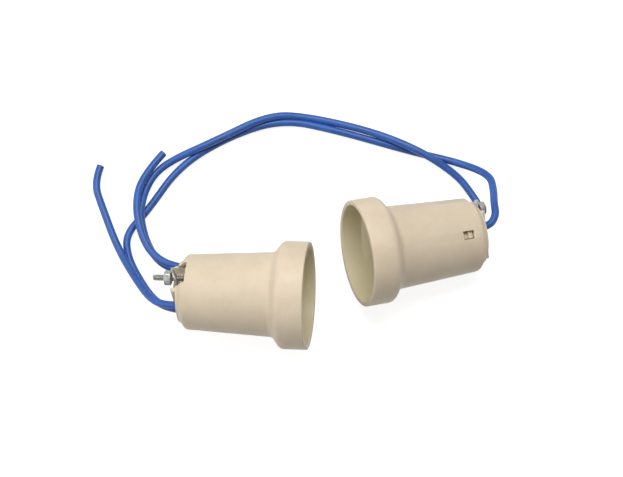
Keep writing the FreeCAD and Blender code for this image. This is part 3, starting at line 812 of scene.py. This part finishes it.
class LAMPHOLDER_OT_wires(bpy.types.Operator):
    """Insulated link wires and supply leads, each on its own route"""
    bl_idname = "lampholder.wires"
    bl_label = "Wires"

    def execute(self, context):
        s = context.scene.lamp_wires
        for name, route in ROUTES.items():
            points = [Vector(corner) * MM for corner in route]
            curve = bpy.data.curves.new(name + "_insulation", "CURVE")
            curve.dimensions = "3D"
            spline = curve.splines.new("NURBS")
            spline.points.add(len(points) - 1)
            for control, point in zip(spline.points, points):
                control.co = (*point, 1)
            spline.order_u = 3
            spline.use_endpoint_u = True
            spline.resolution_u = 10
            curve.bevel_depth = s.diameter / 2
            curve.bevel_resolution = 7
            curve.use_fill_caps = True
            piece = bpy.data.objects.new(name + "_insulation", curve)
            context.scene.collection.objects.link(piece)
            finish(piece, "holders", "blue_insulation", finishes()["blue_insulation"], name)
            loose = name in LOOSE_WIRES
            ends = [self.core(name, points)] if loose else []
        return {"FINISHED"}

    def core(self, name, points):
        """Cut end of a wire's copper core, proud of the insulation by a hair."""
        s = bpy.context.scene.lamp_wires
        along = (points[-1] - points[-2]).normalized()
        deselect()
        bpy.ops.mesh.primitive_cylinder_add(vertices=CORE_SIDES, radius=s.core / 2,
                                            depth=CORE_LENGTH, end_fill_type="TRIFAN")
        piece = bpy.context.object
        piece.name = name + "_core"
        apply_modifier(piece, "BEVEL", width=SMALL_PART_ROUND, segments=2, limit_method="ANGLE")
        turn = along.to_track_quat("Z", "Y").to_matrix().to_4x4()
        put(piece, Matrix.Translation(points[-1] - along * CORE_SET_BACK) @ turn)
        return finish(piece, "holders", "blue_insulation", finishes()["copper_core"])


class LAMPHOLDER_OT_stage(bpy.types.Operator):
    """Floor, lamps, surrounding light and camera"""
    bl_idname = "lampholder.stage"
    bl_label = "Stage"

    def execute(self, context):
        s = context.scene.lamp_stage
        deselect()
        bpy.ops.mesh.primitive_plane_add(size=4, location=(0, 0, -FLOOR_DROP))
        floor = bpy.context.object
        floor.name = "stage_floor"
        floor.data.materials.append(self.floor_material())
        for name, place, size, power in (("key_lamp", KEY_PLACE, KEY_SIZE, s.key),
                                         ("side_lamp", SIDE_PLACE, SIDE_SIZE, s.side)):
            bpy.ops.object.light_add(type="AREA", location=place)
            lamp = bpy.context.object
            lamp.name = name
            lamp.data.size, lamp.data.energy = size, power
            aim = Vector(LAMP_AIM) - Vector(place)
            lamp.rotation_euler = aim.to_track_quat("-Z", "Y").to_euler()
        self.surroundings(context.scene, s.ambient)
        view = Matrix.Rotation(s.yaw, 4, "Z") @ Matrix.Rotation(math.pi / 2 - s.elevation, 4, "X")
        backwards = view.to_3x3() @ Vector((0, 0, 1))
        place = Vector(s.target) + backwards * s.distance
        bpy.ops.object.camera_add()
        camera = bpy.context.object
        camera.matrix_world = Matrix.Translation(place) @ view @ Matrix.Rotation(s.roll, 4, "Z")
        camera.data.lens, camera.data.sensor_width = s.lens, SENSOR_WIDTH
        camera.data.clip_start, camera.data.clip_end = 0.01, 20
        context.scene.camera = camera
        context.scene.view_settings.view_transform = "Standard"
        return {"FINISHED"}

    def seen(self, finish):
        """1 where the camera, a mirror or glass looks straight at the surface."""
        rays = [finish.node("ShaderNodeLightPath", output=name)
                for name in ("Is Camera Ray", "Is Glossy Ray", "Is Transmission Ray")]
        either = rays[0] + rays[1] + rays[2]
        return finish.node("ShaderNodeMath", {"operation": "MINIMUM"}, {0: either, 1: 1.0})

    def floor_material(self):
        """White floor that keeps the shadows."""
        f = Finish("stage_floor")
        paper = f.node("ShaderNodeBsdfDiffuse", {}, {"Color": FLOOR_SHADE})
        strength = self.seen(f) * FLOOR_GLOW
        glow = f.node("ShaderNodeEmission", {}, {"Color": (1, 1, 1), "Strength": strength})
        f.output(f.node("ShaderNodeAddShader", {}, {0: paper, 1: glow}))
        return f.material

    def surroundings(self, scene, strength):
        """Even white light from all round, white where it is seen."""
        world = bpy.data.worlds.new("stage_light")
        scene.world = world
        world.use_nodes = True
        tree = world.node_tree
        tree.nodes.clear()
        path = tree.nodes.new("ShaderNodeLightPath")
        light = tree.nodes.new("ShaderNodeBackground")
        seen = tree.nodes.new("ShaderNodeBackground")
        mixed = tree.nodes.new("ShaderNodeMixShader")
        out = tree.nodes.new("ShaderNodeOutputWorld")
        light.inputs["Color"].default_value = seen.inputs["Color"].default_value = (1, 1, 1, 1)
        light.inputs["Strength"].default_value = strength
        seen.inputs["Strength"].default_value = 1.0
        tree.links.new(path.outputs["Is Camera Ray"], mixed.inputs[0])
        tree.links.new(light.outputs[0], mixed.inputs[1])
        tree.links.new(seen.outputs[0], mixed.inputs[2])
        tree.links.new(mixed.outputs[0], out.inputs[0])


OPERATORS = (LAMPHOLDER_OT_housings, LAMPHOLDER_OT_contact_blocks, LAMPHOLDER_OT_screw_shells,
             LAMPHOLDER_OT_contacts, LAMPHOLDER_OT_fixings, LAMPHOLDER_OT_wires,
             LAMPHOLDER_OT_stage)
SETTINGS = {"lamp_holder": HolderSizes, "lamp_thread": ThreadSizes, "lamp_wires": WireSizes,
            "lamp_colours": FinishColours, "lamp_stage": StageSettings}


class LAMPHOLDER_PT_pieces(bpy.types.Panel):
    """Lists the settings and the pieces"""
    bl_label = "Lamp holders"
    bl_idname = "LAMPHOLDER_PT_pieces"
    bl_space_type = "VIEW_3D"
    bl_region_type = "UI"
    bl_category = "Lamp holders"

    def draw(self, context):
        for name, group in SETTINGS.items():
            box = self.layout.box()
            box.label(text=group.__doc__)
            for key in group.__annotations__:
                box.prop(getattr(context.scene, name), key)
        for operator in OPERATORS:
            self.layout.operator(operator.bl_idname)


def register():
    """Register the settings, the operators and the panel."""
    for group in SETTINGS.values():
        bpy.utils.register_class(group)
    for operator in OPERATORS:
        bpy.utils.register_class(operator)
    bpy.utils.register_class(LAMPHOLDER_PT_pieces)
    for name, group in SETTINGS.items():
        setattr(bpy.types.Scene, name, bpy.props.PointerProperty(type=group))


def unregister():
    """Undo register."""
    for name in SETTINGS:
        delattr(bpy.types.Scene, name)
    bpy.utils.unregister_class(LAMPHOLDER_PT_pieces)
    for operator in reversed(OPERATORS):
        bpy.utils.unregister_class(operator)
    for group in SETTINGS.values():
        bpy.utils.unregister_class(group)


def main():
    """Build every piece and the stage."""
    register()
    bpy.ops.lampholder.housings()
    bpy.ops.lampholder.contact_blocks()
    bpy.ops.lampholder.screw_shells()
    bpy.ops.lampholder.contacts()
    bpy.ops.lampholder.fixings()
    bpy.ops.lampholder.wires()
    bpy.ops.lampholder.stage()


if __name__ == "__main__":
    main()
